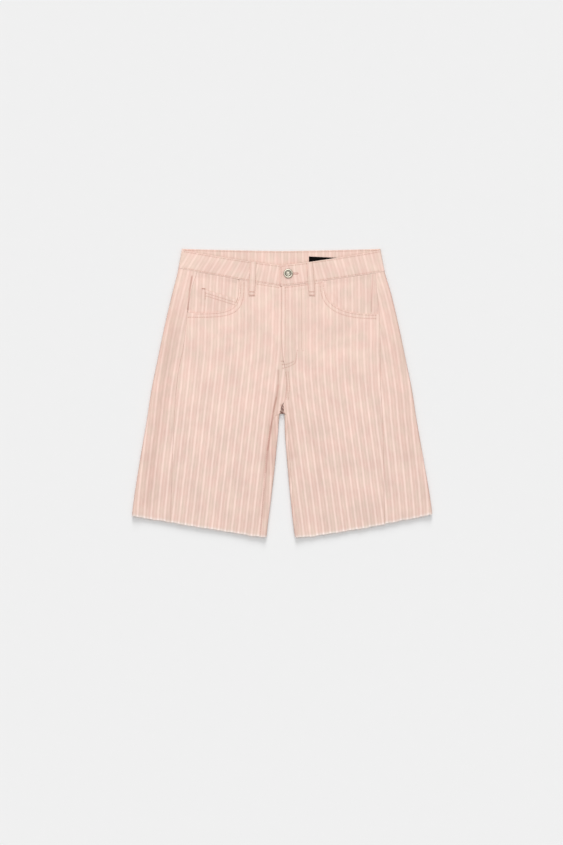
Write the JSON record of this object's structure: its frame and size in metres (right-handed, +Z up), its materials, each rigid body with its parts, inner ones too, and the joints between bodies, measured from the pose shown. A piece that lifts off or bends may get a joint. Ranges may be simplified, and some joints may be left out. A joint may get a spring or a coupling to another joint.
{
  "type": "bermuda shorts",
  "caption": "Knee-length striped cotton denim shorts with raw hems, scoop pockets, fly and buttoned waistband, laid flat with the front up.",
  "frame": {"origin": "middle of the width and of the whole length, on the surface that the shorts lie on", "axes": "+Z up from that surface through the front, +Y from the hems to the waist, +X to the viewer's right, which is the wearer's left"},
  "size_m": [0.574, 0.5502, 0.012],
  "materials": {
    "denim": "washed cotton denim, pale pink with woven light stripes, matte",
    "zip_tape": "plain woven cotton tape, matte",
    "label": "plain black woven satin",
    "button": "brushed nickel plating on a pressed brass shell"
  },
  "bodies": {
    "root": {"front_right": "denim", "front_left": "denim", "back_right": "denim", "back_left": "denim", "pocket_facing_right": "denim", "pocket_facing_left": "denim", "coin_pocket": "denim", "belt_loop_right": "denim", "belt_loop_left": "denim", "waistband": "denim", "fly_zip": "zip_tape", "label": "label", "button": "button"}
  },
  "joints": []
}
